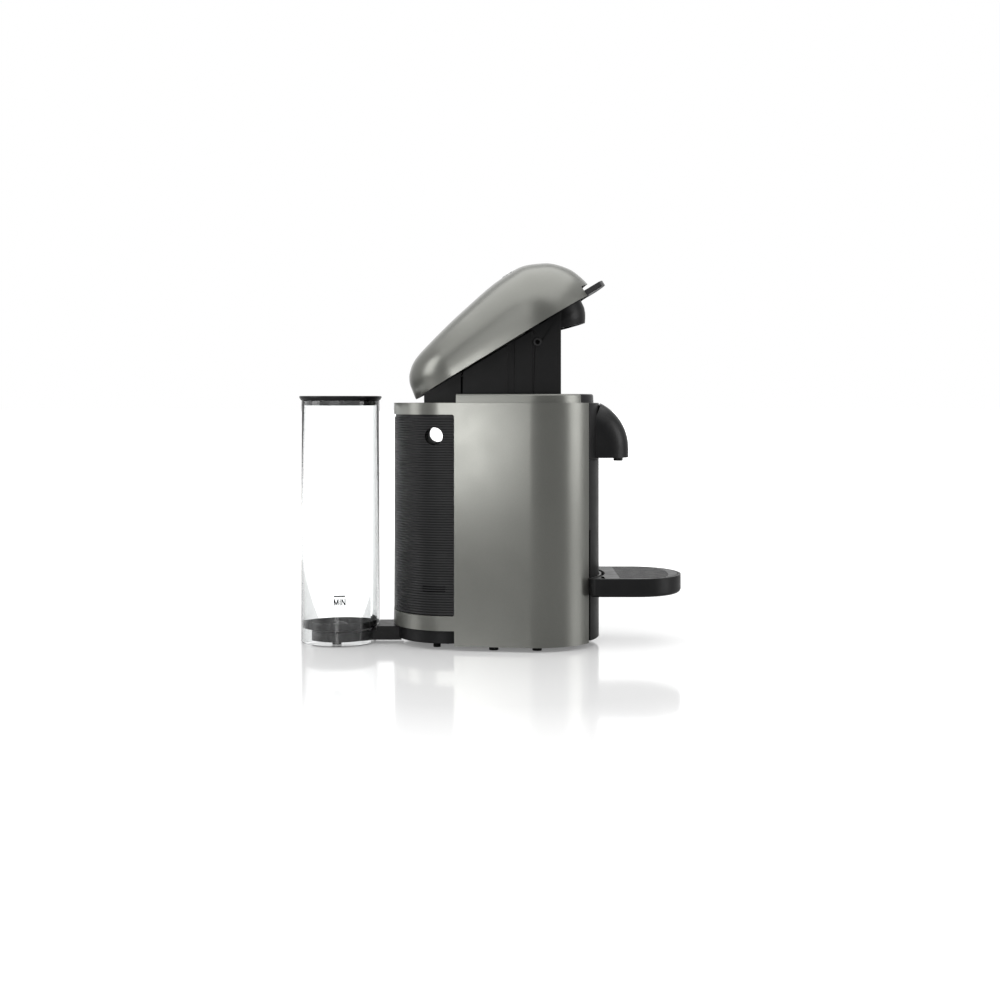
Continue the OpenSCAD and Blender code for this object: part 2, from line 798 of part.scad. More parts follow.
module bin_front() {
    color(BLACK) difference() {
        intersection() {
            band(0, 7, 7, bin_z1 - GAP);
            box(shell_front_x + GAP, 300, -200, 200, 0, 300);
        }
        box(100, 300, -9, 9, bin_z1 - 4, 300);
    }
}

module capsule_bin() {
    color(BLACK) difference() {
        mid_box(33, shell_front_x + GAP, 38, 10, 130);
        mid_box(35, shell_front_x - 1.7, 36, 12, 140);
    }
}

module cup_support_plan() {
    difference() {
        union() {
            translate([cup_support_x, 0]) circle(cup_support_r);
            translate([shell_front_x + 0.5, -cup_support_r])
                square([cup_support_x - shell_front_x - 0.5, 2 * cup_support_r]);
        }
        translate([front_x, 0]) circle(front_r + GAP);
    }
}

// A flat shape like the support's plan, inset inside its wall and kept behind by back.
module support_inside(inset, back, z0, z1) {
    difference() {
        union() {
            post(cup_support_x, 0, cup_support_r - inset, z0, z1);
            mid_box(123, cup_support_x, cup_support_r - inset, z0, z1);
        }
        post(front_x, 0, front_r + back, 0, 200);
    }
}

module cup_support() {
    color(BLACK) difference() {
        translate([0, 0, cup_z - 20]) linear_extrude(20) cup_support_plan();
        support_inside(3, 6, cup_z - 17, cup_z + 1);
    }
}

module drip_grid() {
    color(SATIN) difference() {
        union() {
            support_inside(3.4, 6.5, cup_z - 3, cup_z);
            for (x = [145, 170], y = [-30, 30]) post(x, y, 3, cup_z - 17, cup_z - 2);
        }
        for (y = [-42:7:42])
            box(139, 176 + 20 * sqrt(1 - pow(y / 48, 2)), y - 1.6, y + 1.6, 0, 200);
    }
}

// ---- swing arm and tank ----

module swing_ring() {
    color(BLACK) difference() {
        tube(rear_x, 0, 56.8, 41.4 + GAP, ring_z0, band_z0 - 0.7);
        mid_box(-120, -96.5, 21, 0, 50);
    }
}

module tank_arm() {
    color(BLACK) difference() {
        union() {
            mid_box(tank_x + 42, -96.5, 21, 4.5, 19.4);
            mid_box(tank_x, tank_x + 42.1, 21, 4.5, 14.5);
            post(tank_x, 0, 31, 4.5, 14.5);
            post(tank_x, 0, 12, 6, 16.4);
        }
        post(tank_x, 0, 10.5, 11, 40);
    }
}

module arm_foot() {
    color([0.08, 0.08, 0.08]) post(tank_x - 4, 0, 5, 0, 4.5);
}

module water_tank() {
    color(CLEAR) difference() {
        union() {
            tube(tank_x, 0, tank_r, tank_r - tank_wall, 1, tank_z);
            post(tank_x, 0, tank_r - 1, 17, 19.5);
            post(tank_x, 0, 8.5, 12.5, 20.5);
        }
        post(tank_x, 0, 5, 0, 40);
        mid_box(tank_x + 20, tank_x + 60, 21.6, -1, 20);
    }
}

module tank_lid() {
    color(BLACK) translate([tank_x, 0, 0]) rotate_extrude() polygon([
        [0, 266.8], [38, 266.8], [38, 259.2], [40.3, 259.2], [40.3, 265.1], [43.2, 265.1],
        [45.3, 268], [45.3, 269.3], [44.6, 269.9], [36, 269.9], [34, 269.3], [0, 269.3]]);
}

module lid_seal() {
    color([0.3, 0.3, 0.32]) tube(tank_x, 0, 40.7, 40.3, 260.6, 262.2);
}

module tank_valve() {
    color([0.85, 0.85, 0.85]) {
        post(tank_x, 0, 4.6, 11.6, 21);
        post(tank_x, 0, 8, 20.8, 23);
    }
}

left_shell();
right_shell();
rear_cover();
top_deck();
collar_trim();
front_housing();
base_plate();
rear_base();
ring_keeper();
chassis();
rear_guide();
through_sleeve();
spout_cover();
spout_nozzle();
coffee_duct();
chamber_housing();
spindle_bearings();
spin_motor();
drive_belt();
lift_motor();
guide_rods();
water_pump();
thermoblock();
flow_meter();
water_hoses();
control_board();
cord_gland();
feet();
base_screws();
riser_frame();
lift_rack();
hinge_pins();
riser_caps();
head_shell();
head_frame();
brew_nose();
injection_plate();
head_seal();
button_bezel();
button_switch();
lever_pin();
open_lever();
brew_button();
capsule_cup();
spindle();
cup_pulley();
motor_pulley();
lift_pinion();
capsule_bin();
bin_front();
cup_support();
drip_grid();
swing_ring();
tank_arm();
arm_foot();
water_tank();
tank_lid();
lid_seal();
tank_valve();
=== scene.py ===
"""Looks for the pod coffee machine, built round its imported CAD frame. Metres, +X front, +Z up."""

import json
import math

import bmesh
import bpy
from mathutils import Matrix, Vector


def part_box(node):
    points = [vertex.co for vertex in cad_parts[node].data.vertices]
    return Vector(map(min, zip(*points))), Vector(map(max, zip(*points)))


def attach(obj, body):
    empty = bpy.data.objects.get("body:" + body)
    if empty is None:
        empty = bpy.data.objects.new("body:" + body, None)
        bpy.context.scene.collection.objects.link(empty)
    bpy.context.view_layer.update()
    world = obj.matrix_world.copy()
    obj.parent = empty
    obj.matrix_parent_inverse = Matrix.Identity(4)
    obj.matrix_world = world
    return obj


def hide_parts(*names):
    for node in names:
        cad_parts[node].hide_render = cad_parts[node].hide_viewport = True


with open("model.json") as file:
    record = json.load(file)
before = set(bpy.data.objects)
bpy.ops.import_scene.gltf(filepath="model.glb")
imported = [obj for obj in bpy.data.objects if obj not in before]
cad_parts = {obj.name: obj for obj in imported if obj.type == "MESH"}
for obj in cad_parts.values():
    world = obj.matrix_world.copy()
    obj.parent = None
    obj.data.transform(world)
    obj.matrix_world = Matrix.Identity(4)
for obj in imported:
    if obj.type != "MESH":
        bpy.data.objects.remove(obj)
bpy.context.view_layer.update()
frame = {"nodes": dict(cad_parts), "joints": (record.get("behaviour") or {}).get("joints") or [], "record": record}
record = frame["record"]
nodes = frame["nodes"]
slot_of = {row["node"]: row["material_slot"] for row in record["subparts"]}
joints = {joint["name"]: joint for joint in frame["joints"]}
MM = 0.001

# ---- driving sizes, as in the CAD ----

REAR_R = 60 * MM
FRONT_R = 71 * MM
REAR_X = -46 * MM
FRONT_X = 49 * MM
WALL = 2.2 * MM
SEAM_X = -38 * MM
SHELL_END_X = 106 * MM
RIBS_LOW = 36.6 * MM
RIBS_HIGH = 250 * MM
BAND_LOW = 21 * MM
HOLE_R = 9.15 * MM
TILT = math.radians(31)
HEAD_L = 227.6 * MM
HEAD_WALL = 2.5 * MM
PIVOT_U = 150 * MM
PIVOT_V = 5 * MM
BUTTON_U = 160 * MM
BUTTON_V = 65.6 * MM
TANK_R = 43 * MM
TAPER = math.asin((FRONT_R - REAR_R) / (FRONT_X - REAR_X))
CORNER_R = 2.5 * MM
JOINT_GAP = 0.3 * MM

shell_low, shell_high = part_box("left_shell")
hole_low, hole_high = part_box("through_sleeve")
lid_low, lid_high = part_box("tank_lid")
support_low, support_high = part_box("cup_support")
HOLE = (hole_low + hole_high) / 2
TANK_X = (lid_low.x + lid_high.x) / 2
PIVOT = Vector(joints["head_tilt"]["pos_m"])
CLOSED_TIP_X = REAR_X - REAR_R + 0.5 * MM
WELL_X = joints["cup_spin"]["pos_m"][0]
NOSE_U = WELL_X - CLOSED_TIP_X

# From the head's own frame, with its rear tip at the origin and its rim level, to the open head.
HEAD_FRAME = (
    Matrix.Translation(PIVOT)
    @ Matrix.Rotation(-TILT, 4, "Y")
    @ Matrix.Translation((-PIVOT_U, 0, -PIVOT_V))
)


# ---- materials ----


def socket(shader, name, value):
    shader.inputs[name].default_value = value


class Look:
    """A node material round one Principled shader, with its texture space in the object's metres."""

    def __init__(self, name, color, roughness, **sockets):
        self.material = bpy.data.materials.new(name)
        self.material.use_nodes = True
        self.tree = self.material.node_tree
        self.shader = self.tree.nodes["Principled BSDF"]
        socket(self.shader, "Base Color", (*color, 1))
        socket(self.shader, "Roughness", roughness)
        for key, value in sockets.items():
            socket(self.shader, key.replace("_", " "), value)
        self.space = self.tree.nodes.new("ShaderNodeTexCoord").outputs["Object"]
        self.bumps = None

    def link(self, start, end):
        self.tree.links.new(start, end)

    def stretch(self, scale):
        node = self.tree.nodes.new("ShaderNodeMapping")
        socket(node, "Scale", scale)
        self.link(self.space, node.inputs["Vector"])
        return node.outputs["Vector"]

    def noise(self, scale, detail=2.0, stretch=None):
        node = self.tree.nodes.new("ShaderNodeTexNoise")
        socket(node, "Scale", scale)
        socket(node, "Detail", detail)
        self.link(self.stretch(stretch) if stretch else self.space, node.inputs["Vector"])
        return node.outputs["Fac"]

    def cells(self, scale):
        node = self.tree.nodes.new("ShaderNodeTexVoronoi")
        socket(node, "Scale", scale)
        self.link(self.space, node.inputs["Vector"])
        return node.outputs["Distance"]

    def spread(self, value, low, high):
        node = self.tree.nodes.new("ShaderNodeMapRange")
        socket(node, "From Min", 0.3)
        socket(node, "From Max", 0.7)
        socket(node, "To Min", low)
        socket(node, "To Max", high)
        self.link(value, node.inputs["Value"])
        return node.outputs["Result"]

    def vary_roughness(self, value, low, high):
        self.link(self.spread(value, low, high), self.shader.inputs["Roughness"])
        return self

    def vary_color(self, value, dark, light):
        node = self.tree.nodes.new("ShaderNodeMix")
        node.data_type = "RGBA"
        node.inputs["A"].default_value = (*dark, 1)
        node.inputs["B"].default_value = (*light, 1)
        self.link(self.spread(value, 0, 1), node.inputs["Factor"])
        self.link(node.outputs["Result"], self.shader.inputs["Base Color"])
        return self

    def paint_edge_shade(self, facing, edge):
        # Painted shade: the base colour turns from the facing colour to a darker one towards grazing edges, in
        # place of the grey rim that clear plastic shows in light.
        weight = self.tree.nodes.new("ShaderNodeLayerWeight")
        socket(weight, "Blend", 0.35)
        node = self.tree.nodes.new("ShaderNodeMix")
        node.data_type = "RGBA"
        node.inputs["A"].default_value = (*facing, 1)
        node.inputs["B"].default_value = (*edge, 1)
        self.link(weight.outputs["Facing"], node.inputs["Factor"])
        self.link(node.outputs["Result"], self.shader.inputs["Base Color"])

    def bump(self, value, depth, strength=1.0):
        node = self.tree.nodes.new("ShaderNodeBump")
        socket(node, "Strength", strength)
        socket(node, "Distance", depth)
        self.link(value, node.inputs["Height"])
        if self.bumps:
            self.link(self.bumps, node.inputs["Normal"])
        self.bumps = node.outputs["Normal"]
        self.link(self.bumps, self.shader.inputs["Normal"])
        return self


def tint(color, factor):
    return tuple(c * factor for c in color)


def paint(name, color):
    """Satin metallic paint: fine flakes, a faint orange peel and a thin clear coat."""
    look = Look(name, color, 0.3, Metallic=0.6, Coat_Weight=0.1, Coat_Roughness=0.25)
    look.vary_color(look.noise(2600, 3), tint(color, 0.93), tint(color, 1.07))
    look.vary_roughness(look.noise(35, 3), 0.28, 0.32)
    look.bump(look.noise(420, 2), 0.012 * MM, 0.35)
    look.bump(look.cells(3200), 0.01 * MM, 0.25)
    return look.material


def plastic(name, color, roughness, grain=1400, depth=0.03, strength=0.5):
    """Moulded plastic with a fine spark-eroded grain."""
    look = Look(name, color, roughness, Specular_IOR_Level=0.3)
    look.vary_color(look.noise(60, 4), tint(color, 0.9), tint(color, 1.12))
    look.vary_roughness(look.noise(90, 3), roughness - 0.04, roughness + 0.05)
    look.bump(look.noise(grain, 3), depth * MM, strength)
    return look.material


def metal(name, color, roughness, stretch=(1, 1, 1), scale=900):
    """Machined or brushed metal, with its marks drawn out along one axis."""
    look = Look(name, color, roughness, Metallic=1.0)
    marks = look.noise(scale, 4, stretch)
    look.vary_color(look.noise(80, 3), tint(color, 0.9), tint(color, 1.05))
    look.vary_roughness(marks, roughness - 0.06, roughness + 0.1)
    look.bump(marks, 0.01 * MM, 0.5)
    return look.material


def clear(name):
    """Clear moulded plastic with faint flow lines, and painted grey shade towards its grazing edges."""
    look = Look(name, (0.975, 0.985, 0.985), 0.02, Transmission_Weight=1.0, IOR=1.47)
    look.vary_roughness(look.noise(60, 2), 0.01, 0.035)
    look.bump(look.noise(28, 1, (1, 1, 0.3)), 0.05 * MM, 0.12)
    # Painted shade: a grey tint towards the tank's grazing edges.
    look.paint_edge_shade((0.975, 0.985, 0.985), (0.7, 0.71, 0.71))
    return look.material


def rubber(name, color):
    look = Look(name, color, 0.75, Specular_IOR_Level=0.3)
    look.vary_color(look.noise(300, 3), tint(color, 0.8), tint(color, 1.25))
    look.bump(look.noise(2200, 3), 0.05 * MM, 0.6)
    return look.material


def board(name):
    look = Look(name, (0.01, 0.12, 0.05), 0.3, Coat_Weight=0.4)
    look.vary_color(look.cells(700), (0.01, 0.09, 0.035), (0.02, 0.17, 0.07))
    look.bump(look.cells(700), 0.05 * MM, 0.4)
    return look.material


GREY = (0.24, 0.242, 0.222)
looks = {
    "grey_paint": paint("satin_grey_paint", GREY),
    "black_plastic": plastic("black_grained_plastic", (0.009, 0.009, 0.0098), 0.42),
    "dark_plastic": plastic("dark_satin_plastic", (0.011, 0.011, 0.0115), 0.36, 1800, 0.02, 0.4),
    "inner_plastic": plastic("plain_inner_plastic", (0.35, 0.35, 0.33), 0.5),
    "clear_plastic": clear("clear_tank_plastic"),
    "aluminium": metal("turned_aluminium", (0.62, 0.62, 0.63), 0.32, (1, 1, 8)),
    "steel": metal("brushed_steel", (0.5, 0.5, 0.51), 0.3, (1, 1, 6)),
    "bright_metal": metal("polished_metal", (0.72, 0.72, 0.72), 0.16, (1, 1, 1), 500),
    "circuit": board("green_board"),
    "rubber": rubber("black_rubber", (0.018, 0.018, 0.018)),
}
frame_black = plastic("frame_black_plastic", (0.006, 0.006, 0.0063), 0.5, 1100, 0.04, 0.5)
ribbed = plastic("ribbed_cover_plastic", (0.009, 0.009, 0.0098), 0.4, 900, 0.005, 0.15)
lid_black = plastic("lid_black_plastic", (0.008, 0.008, 0.009), 0.3, 2200, 0.015, 0.3)
lever_black = plastic("lever_grained_plastic", (0.016, 0.016, 0.017), 0.4, 1500, 0.03, 0.5)
nose_black = plastic("nose_satin_plastic", (0.006, 0.006, 0.0065), 0.42, 1500, 0.02, 0.4)
lever_grey = plastic("lever_grey_plastic", (0.04, 0.04, 0.041), 0.4, 1500, 0.03, 0.5)
matt_black = rubber("matt_black_lining", (0.005, 0.005, 0.005))
pin_black = metal("blackened_steel", (0.006, 0.006, 0.006), 0.5)
smoked = plastic("smoked_tank_floor", (0.018, 0.018, 0.019), 0.22, 1600, 0.01, 0.2)
mark_grey = plastic("printed_grey_mark", (0.045, 0.045, 0.05), 0.6)
hose_milk = plastic("milky_hose", (0.6, 0.6, 0.57), 0.35)


# ---- mesh helpers ----


def new_piece(name, verts, faces, smooth=True):
    mesh = bpy.data.meshes.new(name)
    mesh.from_pydata([tuple(v) for v in verts], [], faces)
    mesh.validate()
    work = bmesh.new()
    work.from_mesh(mesh)
    bmesh.ops.recalc_face_normals(work, faces=work.faces)
    work.to_mesh(mesh)
    work.free()
    for face in mesh.polygons:
        face.use_smooth = smooth
    piece = bpy.data.objects.new(name, mesh)
    bpy.context.scene.collection.objects.link(piece)
    return piece


def loft(name, rings, closed=True, caps=True):
    """Skin through rings of equal length. A closed ring's last point joins its first."""
    n = len(rings[0])
    verts = [p for ring in rings for p in ring]
    span = n if closed else n - 1
    faces = [
        (i * n + j, i * n + (j + 1) % n, (i + 1) * n + (j + 1) % n, (i + 1) * n + j)
        for i in range(len(rings) - 1)
        for j in range(span)
    ]
    if caps:
        faces.append(tuple(range(n - 1, -1, -1)))
        faces.append(tuple((len(rings) - 1) * n + j for j in range(n)))
    return new_piece(name, verts, faces)


def lathe(name, profile, centre=(0, 0), steps=128, place=None):
    """A closed profile of (radius, height) turned about a vertical axis. Points at radius 0 are poles."""
    verts, index = [], []
    for r, z in profile:
        if r < 1e-7:
            index.append([len(verts)] * steps)
            verts.append((centre[0], centre[1], z))
            continue
        index.append(list(range(len(verts), len(verts) + steps)))
        for k in range(steps):
            a = 2 * math.pi * k / steps
            verts.append((centre[0] + r * math.cos(a), centre[1] + r * math.sin(a), z))
    faces = []
    for i, ring in enumerate(index):
        after = index[(i + 1) % len(index)]
        for k in range(steps):
            q = (k + 1) % steps
            corners = []
            for v in (ring[k], ring[q], after[q], after[k]):
                if v not in corners:
                    corners.append(v)
            if len(corners) > 2:
                faces.append(tuple(corners))
    if place:
        verts = [place @ Vector(v) for v in verts]
    return new_piece(name, verts, faces)


def round_profile(points, radii, steps=5):
    """Closed (r, z) outline with its corners rounded to the given radii."""
    out, n = [], len(points)
    for i, (point, radius) in enumerate(zip(points, radii)):
        here = Vector(point)
        if radius <= 0:
            out.append(tuple(here))
            continue
        to_last = (Vector(points[i - 1]) - here).normalized()
        to_next = (Vector(points[(i + 1) % n]) - here).normalized()
        half = to_last.angle(to_next) / 2
        centre = here + (to_last + to_next).normalized() * (radius / math.sin(half))
        start = here + to_last * (radius / math.tan(half)) - centre
        end = here + to_next * (radius / math.tan(half)) - centre
        turn = start.angle_signed(end)
        for k in range(steps + 1):
            a = -turn * k / steps
            c, s = math.cos(a), math.sin(a)
            out.append((centre.x + start.x * c - start.y * s, centre.y + start.x * s + start.y * c))
    return out


def bake_modifiers(piece):
    depsgraph = bpy.context.evaluated_depsgraph_get()
    mesh = bpy.data.meshes.new_from_object(piece.evaluated_get(depsgraph))
    piece.modifiers.clear()
    piece.data = mesh
    return piece


def cut(piece, cutters, operation="DIFFERENCE"):
    for cutter in cutters:
        modifier = piece.modifiers.new("cut", "BOOLEAN")
        modifier.operation = operation
        modifier.solver = "EXACT"
        modifier.object = cutter
    bake_modifiers(piece)
    for cutter in cutters:
        bpy.data.objects.remove(cutter)
    return piece


def thicken(piece, thickness):
    modifier = piece.modifiers.new("thickness", "SOLIDIFY")
    modifier.thickness = thickness
    modifier.offset = -1
    modifier.use_even_offset = True
    return bake_modifiers(piece)


def soften(piece, width, segments=3, angle=40):
    """Rounds the edges sharper than angle and evens out the shading round them."""
    modifier = piece.modifiers.new("rounding", "BEVEL")
    modifier.width = width
    modifier.segments = segments
    modifier.limit_method = "ANGLE"
    modifier.angle_limit = math.radians(angle)
    modifier.use_clamp_overlap = True
    modifier.miter_outer = "MITER_ARC"
    even_shading(piece)
    return piece


def even_shading(piece):
    modifier = piece.modifiers.new("shading", "WEIGHTED_NORMAL")
    modifier.keep_sharp = True
    modifier.weight = 50
    return piece


def finish_piece(piece, body, slot, replaces=(), material=None):
    piece.data.materials.clear()
    piece.data.materials.append(material or looks[slot])
    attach(piece, body)
    if replaces:
        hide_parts(*replaces)
    return piece


def block(name, low, high):
    x0, y0, z0 = low
    x1, y1, z1 = high
    return loft(
        name,
        [[(x0, y0, z), (x1, y0, z), (x1, y1, z), (x0, y1, z)] for z in (z0, z1)],
    )


def rod(name, start, end, radius, steps=64):
    axis = (Vector(end) - Vector(start)).normalized()
    side = axis.orthogonal().normalized()
    other = axis.cross(side)
    rings = []
    turns = [2 * math.pi * k / steps for k in range(steps)]
    for point in (start, end):
        rings.append([Vector(point) + radius * (math.cos(a) * side + math.sin(a) * other) for a in turns])
    return loft(name, rings)


# ---- the body's plan ----


def plan_sample(x):
    """Where x meets the near side's outline: the centre, radius and normal angle of its arc."""
    turn = 1.5 * math.pi - TAPER
    low = REAR_X + REAR_R * math.cos(turn)
    high = FRONT_X + FRONT_R * math.cos(turn)
    if x < low:
        return REAR_X, REAR_R, math.pi + math.acos(max(-1, min(1, (REAR_X - x) / REAR_R)))
    if x > high:
        return FRONT_X, FRONT_R, 2 * math.pi - math.acos(max(-1, min(1, (x - FRONT_X) / FRONT_R)))
    t = (x - low) / (high - low)
    return REAR_X + (FRONT_X - REAR_X) * t, REAR_R + (FRONT_R - REAR_R) * t, turn


def plan_point(sample, inset, z, side=-1):
    centre, radius, angle = sample
    r = radius - inset
    return centre + r * math.cos(angle), -side * r * math.sin(angle), z


def plan_stops(x0, x1, extra=(), step=math.radians(1.6)):
    """Places along x from x0 to x1, close together where the outline turns fast."""
    turn = math.pi / 2 - TAPER
    stops = {x0, x1, *extra}
    count = int(turn / step)
    stops |= {REAR_X - REAR_R * math.cos(turn * k / count) for k in range(count + 1)}
    turn = math.pi / 2 + TAPER
    count = int(turn / step)
    stops |= {FRONT_X + FRONT_R * math.cos(turn * k / count) for k in range(count + 1)}
    line = (REAR_X - REAR_R * math.sin(TAPER), FRONT_X - FRONT_R * math.sin(TAPER))
    stops |= {line[0] + (line[1] - line[0]) * k / 16 for k in range(17)}
    chosen = []
    for x in sorted(stops):
        if x0 <= x <= x1 and (not chosen or x - chosen[-1] > 0.02 * MM or x in extra or x == x1):
            chosen.append(x)
    return chosen


def panel(name, columns, heights, keep, inset=0.0, corners=()):
    """A sheet on the body's outline: columns are (outline sample, side), and keep picks its cells."""
    verts = [plan_point(sample, inset, z, side) for z in heights for sample, side in columns]
    n = len(columns)
    faces = []
    for i in range(len(heights) - 1):
        for j in range(n - 1):
            mid = (Vector(verts[i * n + j]) + Vector(verts[(i + 1) * n + j + 1])) / 2
            if keep(mid.x, mid.z):
                faces.append((i * n + j, i * n + j + 1, (i + 1) * n + j + 1, (i + 1) * n + j))
    for corner in corners:
        faces.append(tuple(range(len(verts), len(verts) + len(corner))))
        verts += corner
    mesh = bpy.data.meshes.new(name)
    mesh.from_pydata(verts, [], faces)
    work = bmesh.new()
    work.from_mesh(mesh)
    bmesh.ops.remove_doubles(work, verts=work.verts, dist=0.01 * MM)
    loose = [v for v in work.verts if not v.link_faces]
    bmesh.ops.delete(work, geom=loose, context="VERTS")
    bmesh.ops.recalc_face_normals(work, faces=work.faces)
    outward = sum(f.normal.xy.dot(f.calc_center_median().xy) for f in work.faces)
    if outward < 0:
        bmesh.ops.reverse_faces(work, faces=work.faces)
    work.to_mesh(mesh)
    work.free()
    for face in mesh.polygons:
        face.use_smooth = True
    piece = bpy.data.objects.new(name, mesh)
    bpy.context.scene.collection.objects.link(piece)
    return piece


def window_corner(z, upward, side, inset=0.0):
    """The filled inside corner of the rear window, from its sharp corner to a round one."""
    sign = 1 if upward else -1
    points = [plan_point(plan_sample(SEAM_X), inset, z, side)]
    steps = 6
    for k in range(steps + 1):
        a = math.pi / 2 * k / steps
        x = SEAM_X - CORNER_R + CORNER_R * math.cos(a)
        points.append(plan_point(plan_sample(x), inset, z + sign * CORNER_R * (1 - math.sin(a)), side))
    return points


def casing_half(name, side, replaced):
    extra = (SEAM_X - CORNER_R, SEAM_X)
    columns = [(plan_sample(x), side) for x in plan_stops(shell_low.x, SHELL_END_X, extra)]
    heights = [shell_low.z, BAND_LOW, RIBS_LOW, RIBS_LOW + CORNER_R, 90 * MM, 143 * MM, 196 * MM]
    heights += [RIBS_HIGH - CORNER_R, RIBS_HIGH, shell_high.z]

    def keep(x, z):
        return x > SEAM_X or BAND_LOW < z < RIBS_LOW or z > RIBS_HIGH

    corners = [window_corner(RIBS_LOW, True, side), window_corner(RIBS_HIGH, False, side)]
    piece = panel(name, columns, heights, keep, 0.0, corners)
    thicken(piece, WALL)
    soften(piece, 0.8 * MM)
    finish_piece(piece, "body", "grey_paint", [replaced])


casing_half("side_casing_left", -1, "left_shell")
casing_half("side_casing_right", 1, "right_shell")


# ---- ribbed rear cover ----

RIB_PITCH = 2.75 * MM
RIB_DEPTH = 0.62 * MM
RIB_STEPS = 8


def rear_cover():
    low = RIBS_LOW + 0.4 * MM
    high = RIBS_HIGH - 2.6 * MM
    count = round((high - low) / RIB_PITCH)
    pitch = (high - low) / count
    places = plan_stops(shell_low.x, SEAM_X - JOINT_GAP, step=math.radians(2.2))
    columns = [(plan_sample(x), -1) for x in reversed(places)]
    columns += [(plan_sample(x), 1) for x in places[1:]]
    rings = []
    for k in range(count * RIB_STEPS + 1):
        share = (k % RIB_STEPS) / RIB_STEPS
        inset = 0.4 * MM + RIB_DEPTH * math.cos(math.pi * share) ** 2
        z = low + pitch * k / RIB_STEPS
        rings.append([plan_point(sample, inset, z, side) for sample, side in columns])
    for inset, z in ((2.0 * MM, high + 0.1 * MM), (2.0 * MM, RIBS_HIGH + 1 * MM)):
        rings.append([plan_point(sample, inset, z, side) for sample, side in columns])
    for inset, z in ((3.4 * MM, RIBS_HIGH + 1 * MM), (3.4 * MM, low)):
        rings.append([plan_point(sample, inset, z, side) for sample, side in columns])
    piece = loft("ribbed_rear_cover", rings + [rings[0]], closed=False, caps=False)
    work = bmesh.new()
    work.from_mesh(piece.data)
    bmesh.ops.remove_doubles(work, verts=work.verts, dist=0.002 * MM)
    bmesh.ops.holes_fill(work, edges=[e for e in work.edges if e.is_boundary])
    bmesh.ops.recalc_face_normals(work, faces=work.faces)
    work.to_mesh(piece.data)
    work.free()
    reach = FRONT_R
    hole = rod("hole", (HOLE.x, -reach, HOLE.z), (HOLE.x, reach, HOLE.z), HOLE_R + 0.5 * MM, 96)
    slots = [
        block(
            "vent",
            (-72 * MM, -reach, (61.7 + 2.5 * k) * MM),
            (-47 * MM, reach, (63.1 + 2.5 * k) * MM),
        )
        for k in range(3)
    ]
    cut(piece, [hole] + slots)
    piece.data.set_sharp_from_angle(angle=math.radians(50))
    finish_piece(piece, "body", "black_plastic", ["rear_cover"], ribbed)


rear_cover()


def vent_shade_sheet(name, side):
    """A black sheet close behind the vents: painted shade that keeps the slots dark."""
    columns = [(plan_sample(x), side) for x in plan_stops(-75 * MM, -44 * MM)]
    piece = panel(name, columns, [60 * MM, 65 * MM, 70 * MM], lambda x, z: True, 3.5 * MM)
    thicken(piece, 0.4 * MM)
    finish_piece(piece, "body", "black_plastic", (), frame_black)


# Painted shade behind the vents on both sides.
vent_shade_sheet("vent_liner_left", -1)
vent_shade_sheet("vent_liner_right", 1)


# ---- front panels ----


def front_panel(name, z0, z1, start_x, notch_z, replaced, body, low_round):
    """A panel round the front of the body, with a finger gap beside the casing below notch_z."""
    gap_x = start_x + 1.5 * MM
    places = plan_stops(start_x, FRONT_X + FRONT_R, (gap_x,))
    columns = [(plan_sample(x), -1) for x in places]
    columns += [(plan_sample(x), 1) for x in reversed(places[:-1])]
    heights = sorted({z0, z1, notch_z, *(z0 + (z1 - z0) * k / 4 for k in range(1, 4))})
    heights = [z for z in heights if z0 <= z <= z1]

    def keep(x, z):
        return x > gap_x or z > notch_z

    piece = panel(name, columns, heights, keep)
    thicken(piece, 5 * MM)
    soften(piece, low_round)
    finish_piece(piece, body, "dark_plastic", [replaced])


bin_low, bin_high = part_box("bin_front")
housing_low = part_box("front_housing")[0]
front_panel(
    "bin_front_panel", bin_low.z, bin_high.z, bin_low.x, 126 * MM, "bin_front", "bin", 0.8 * MM
)


def front_housing():
    """The outlet housing: a panel round the front with a ledge on top. The collar's dark end is a separate piece.
    """
    start_x = SHELL_END_X + JOINT_GAP
    places = plan_stops(start_x, FRONT_X + FRONT_R)
    columns = [(plan_sample(x), -1) for x in places]
    columns += [(plan_sample(x), 1) for x in reversed(places[:-1])]
    low, top = housing_low.z, 262.4 * MM
    section = [(0, low), (0, top), (6.5 * MM, top), (6.5 * MM, low)]
    section = round_profile(section, [0.5 * MM, 0.7 * MM, 0.5 * MM, 0], 3)
    rings = [[plan_point(sample, inset, z, side) for inset, z in section] for sample, side in columns]
    ledge = loft("outlet_housing", rings)
    even_shading(ledge)
    finish_piece(ledge, "body", "dark_plastic", ["front_housing"])


front_housing()


def collar(name, x0, x1, slot, replaced=()):
    """One stretch of the raised collar round the deck's opening, with a round shoulder."""
    low, high = 262 * MM, 272 * MM
    inset0, inset1 = 5.8 * MM, 12 * MM
    section = [(inset0, low), (inset0 + 0.5 * MM, high), (inset1, high), (inset1, low)]
    section = round_profile(section, [0, 2.2 * MM, 1.2 * MM, 0], 5)
    across = x1 >= FRONT_X + FRONT_R - inset0 - 1 * MM
    places = plan_stops(x0, min(x1, FRONT_X + FRONT_R - 0.01 * MM))
    near = [(plan_sample(x), -1) for x in places]
    far = [(plan_sample(x), 1) for x in places]
    runs = [near + far[::-1]] if across else [near, far]
    for k, run in enumerate(runs):
        rings = [[plan_point(sample, inset, z, side) for inset, z in section] for sample, side in run]
        piece = loft(name if across else f"{name}_{('near', 'far')[k]}", rings)
        soften(piece, 0.5 * MM, 2, 60)
        finish_piece(piece, "body", slot, replaced)


collar("grey_collar", -37 * MM, 102 * MM, "grey_paint", ["collar_trim"])
collar("dark_collar", 102.3 * MM, 1.0, "dark_plastic")


# ---- spout ----

SPOUT_R = 54.3 * MM
SPOUT_CENTRE = Vector((98.2 * MM, 213 * MM))
SPOUT_HALF = 27.5 * MM
SPOUT_LOW = 202.5 * MM


